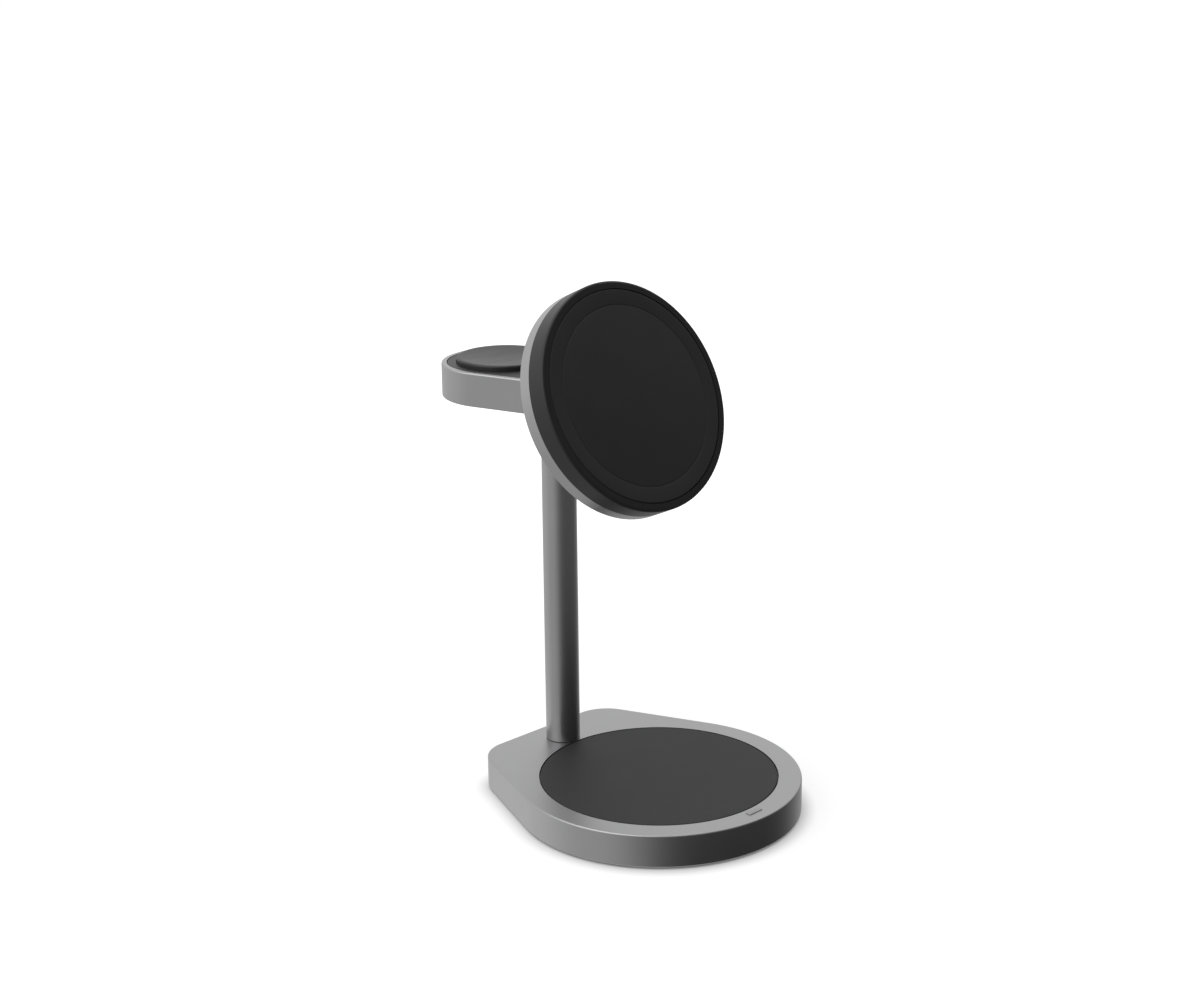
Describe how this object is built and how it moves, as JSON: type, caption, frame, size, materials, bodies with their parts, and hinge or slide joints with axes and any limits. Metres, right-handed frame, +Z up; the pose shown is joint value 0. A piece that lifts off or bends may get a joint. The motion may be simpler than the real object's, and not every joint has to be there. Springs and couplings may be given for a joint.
{
  "type": "three in one wireless charger",
  "caption": "Desk charging stand: teardrop base with an earbud pad, round stem, and a level arm with a tilting magnetic phone disc and a watch puck.",
  "frame": {"origin": "centre of the base's round front, on the underside of the foot, where the stand meets the table", "axes": "+Z up along the stem, -Y to the front where the phone faces, +X to the user's right"},
  "size_m": [0.0856, 0.1268, 0.1571],
  "materials": {
    "grey_metal": "fine bead-blasted space grey anodising, satin",
    "black_plastic": "fine spark-eroded texture, satin black",
    "soft_pad": "soft-touch silicone skin, matt black",
    "silicone": "matt black silicone sheet",
    "puck_plastic": "smooth polished dark plastic, dished",
    "light_window": "grey tinted light pipe, satin",
    "copper": "enamelled copper litz",
    "ferrite": "dark sintered ferrite",
    "carrier_plastic": "moulded dark grey",
    "circuit_board": "green solder mask",
    "steel": "zinc plated",
    "pin_steel": "ground steel",
    "friction_washer": "natural acetal",
    "inlet_metal": "nickel plated drawn shell",
    "magnet_plating": "nickel plated",
    "shield_foil": "plain foil",
    "wire_jacket": "round black jacket"
  },
  "bodies": {
    "stand": {"base_shell": "grey_metal", "stem_tube": "grey_metal", "arm_body": "grey_metal", "arm_cover": "black_plastic", "base_plate": "black_plastic", "earbud_pad": "soft_pad", "foot_pad": "silicone", "watch_puck": "puck_plastic", "status_light_pipe": "light_window", "earbud_coil": "copper", "watch_coil": "copper", "earbud_ferrite": "ferrite", "watch_ferrite": "ferrite", "coil_carrier": "carrier_plastic", "watch_coil_carrier": "carrier_plastic", "main_board": "circuit_board", "status_light_board": "circuit_board", "watch_board": "circuit_board", "counterweight": "steel", "base_screws": "steel", "stem_washers": "steel", "stem_nuts": "steel", "hinge_pin": "pin_steel", "hinge_washers": "friction_washer", "power_inlet": "inlet_metal", "watch_magnet": "magnet_plating", "wiring_loom": "wire_jacket"},
    "head": {"head_rear_cover": "grey_metal", "head_front_housing": "black_plastic", "head_face_pad": "soft_pad", "head_magnets": "magnet_plating", "head_coil": "copper", "head_ferrite": "ferrite", "head_shield": "shield_foil", "head_board": "circuit_board", "hinge_lug": "steel", "hinge_lug_screws": "steel"}
  },
  "joints": [
    {"name": "head_tilt", "type": "hinge", "parent": "stand", "child": "head", "pos_m": [0, 0.0245, 0.12216], "axis": [-1, 0, 0], "range_deg": [-25, 35]}
  ]
}
